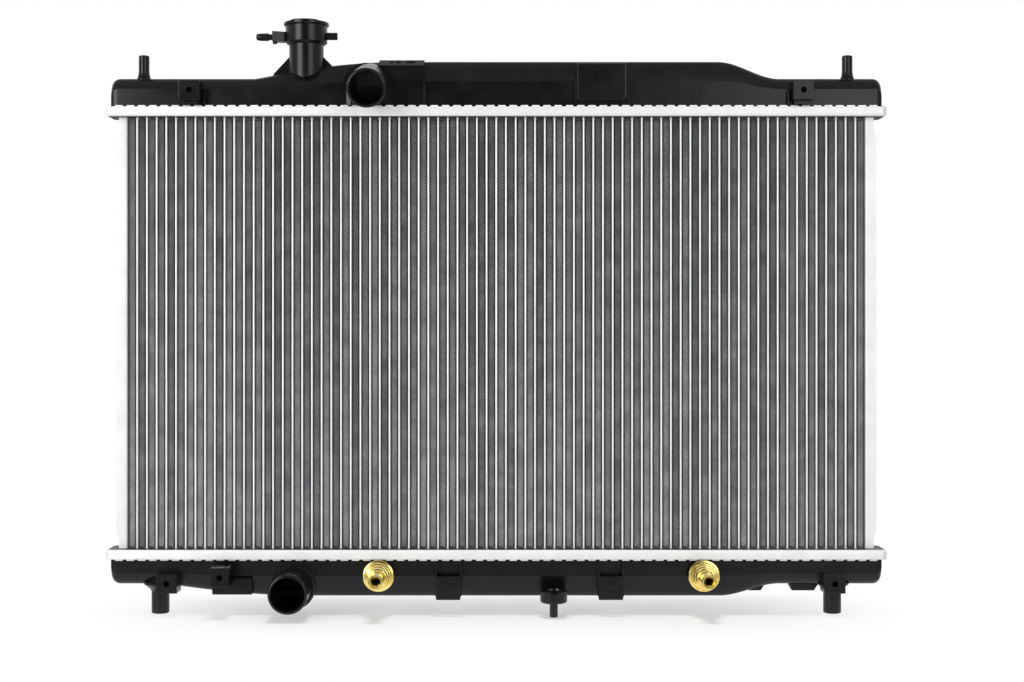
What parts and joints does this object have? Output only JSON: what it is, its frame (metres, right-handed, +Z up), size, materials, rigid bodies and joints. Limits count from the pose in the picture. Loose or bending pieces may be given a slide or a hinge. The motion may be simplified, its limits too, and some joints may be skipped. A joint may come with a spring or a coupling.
{
  "type": "car radiator",
  "caption": "Flat aluminium tube-and-fin radiator with crimped black nylon tanks, filler neck, hose necks, oil cooler fittings and a screw drain plug.",
  "frame": {"origin": "on the floor under the middle of the whole object", "axes": "+X along the core's width, +Y towards the front of the car, +Z up; the hose necks point to -Y"},
  "size_m": [0.778, 0.0836, 0.5938],
  "materials": {
    "black_nylon": "satin",
    "brazed_aluminium": "satin",
    "turned_brass": "satin",
    "epdm_rubber": "matte"
  },
  "bodies": {
    "radiator": {"bottom_gasket": "epdm_rubber", "bottom_header": "brazed_aluminium", "bottom_tank": "black_nylon", "filler_neck": "black_nylon", "fin_strip_01": "brazed_aluminium", "fin_strip_02": "brazed_aluminium", "fin_strip_03": "brazed_aluminium", "fin_strip_04": "brazed_aluminium", "fin_strip_05": "brazed_aluminium", "fin_strip_06": "brazed_aluminium", "fin_strip_07": "brazed_aluminium", "fin_strip_08": "brazed_aluminium", "fin_strip_09": "brazed_aluminium", "fin_strip_10": "brazed_aluminium", "fin_strip_11": "brazed_aluminium", "fin_strip_12": "brazed_aluminium", "fin_strip_13": "brazed_aluminium", "fin_strip_14": "brazed_aluminium", "fin_strip_15": "brazed_aluminium", "fin_strip_16": "brazed_aluminium", "inlet_neck": "black_nylon", "left_shroud_pocket": "black_nylon", "left_side_plate": "brazed_aluminium", "oil_cooler": "brazed_aluminium", "oil_fitting_left": "turned_brass", "oil_fitting_right": "turned_brass", "oil_fitting_seal_left": "epdm_rubber", "oil_fitting_seal_right": "epdm_rubber", "outlet_neck": "black_nylon", "right_shroud_pocket": "black_nylon", "right_side_plate": "brazed_aluminium", "top_gasket": "epdm_rubber", "top_header": "brazed_aluminium", "top_tank": "black_nylon", "tube_bank_01": "brazed_aluminium", "tube_bank_02": "brazed_aluminium", "tube_bank_03": "brazed_aluminium", "tube_bank_04": "brazed_aluminium", "tube_bank_05": "brazed_aluminium", "tube_bank_06": "brazed_aluminium", "tube_bank_07": "brazed_aluminium", "tube_bank_08": "brazed_aluminium", "tube_bank_09": "brazed_aluminium", "tube_bank_10": "brazed_aluminium", "tube_bank_11": "brazed_aluminium", "tube_bank_12": "brazed_aluminium", "tube_bank_13": "brazed_aluminium", "tube_bank_14": "brazed_aluminium", "tube_bank_15": "brazed_aluminium"},
    "plug_carrier": {"drain_seal": "epdm_rubber"},
    "plug": {"drain_plug": "black_nylon"}
  },
  "joints": [
    {"name": "drain_plug_lift", "type": "slide", "parent": "radiator", "child": "plug_carrier", "axis": [0, 0, 1], "range_m": [0, 0.006]},
    {"name": "drain_plug_turn", "type": "hinge", "parent": "plug_carrier", "child": "plug", "pos_m": [0.0568, -0.0048, 0.0217], "axis": [0, 0, 1], "range_deg": [0, 1440]}
  ],
  "couplings": [
    {"joint": "drain_plug_turn", "follows": "drain_plug_lift", "rad_per_m": 4188.7}
  ]
}
